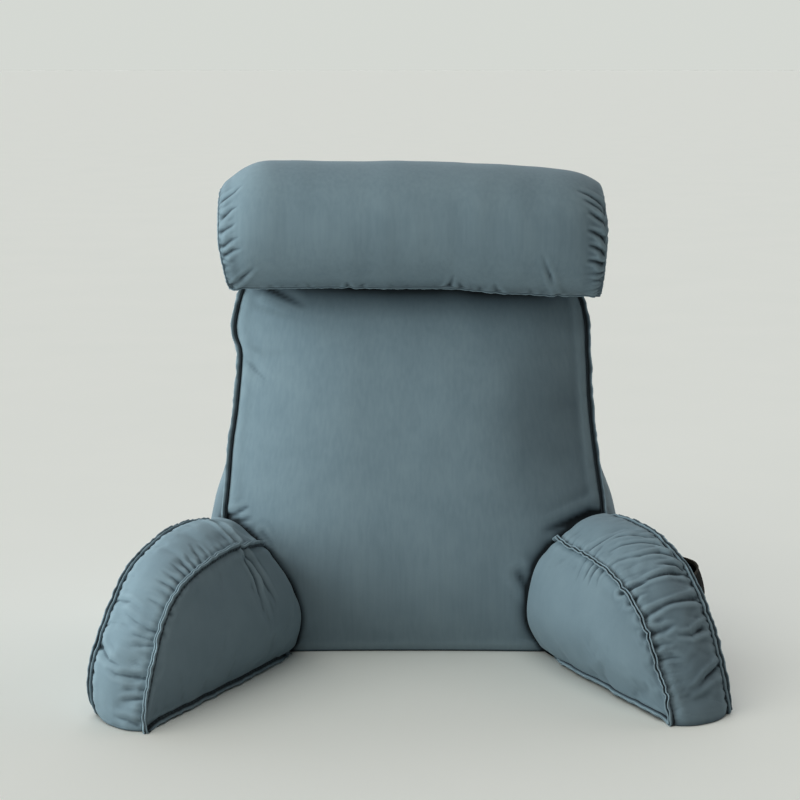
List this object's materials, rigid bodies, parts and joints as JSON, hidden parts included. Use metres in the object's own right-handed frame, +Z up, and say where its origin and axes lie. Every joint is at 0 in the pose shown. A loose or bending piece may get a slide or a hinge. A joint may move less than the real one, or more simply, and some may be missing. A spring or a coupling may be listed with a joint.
{
  "type": "reading pillow with arms",
  "caption": "Reading pillow: a tall filled wedge back, two splayed side arms and a round head bolster, in washed blue-grey cotton with raised seam flanges.",
  "frame": {"origin": "middle of the flat underside of the back cushion, on the surface it stands on", "axes": "+Z up, +X to the right of a viewer who faces the pillow's front, +Y towards the rear panel"},
  "size_m": [0.7696, 0.6142, 0.6447],
  "materials": {
    "cover_cloth": "matte washed cotton",
    "arm_cloth": "matte washed cotton",
    "bolster_cloth": "matte washed cotton",
    "flange_cloth": "matte washed cotton, doubled",
    "pocket_cloth": "matte dark cloth",
    "binding_cloth": "matte woven binding"
  },
  "bodies": {
    "root": {"back_cushion": "cover_cloth", "arm_left": "arm_cloth", "arm_right": "arm_cloth", "head_bolster": "bolster_cloth", "back_front_flange": "flange_cloth", "back_rear_flange": "flange_cloth", "arm_left_inner_flange": "flange_cloth", "arm_left_outer_flange": "flange_cloth", "arm_right_inner_flange": "flange_cloth", "arm_right_outer_flange": "flange_cloth", "side_pocket": "pocket_cloth", "pocket_binding": "binding_cloth"}
  },
  "joints": []
}
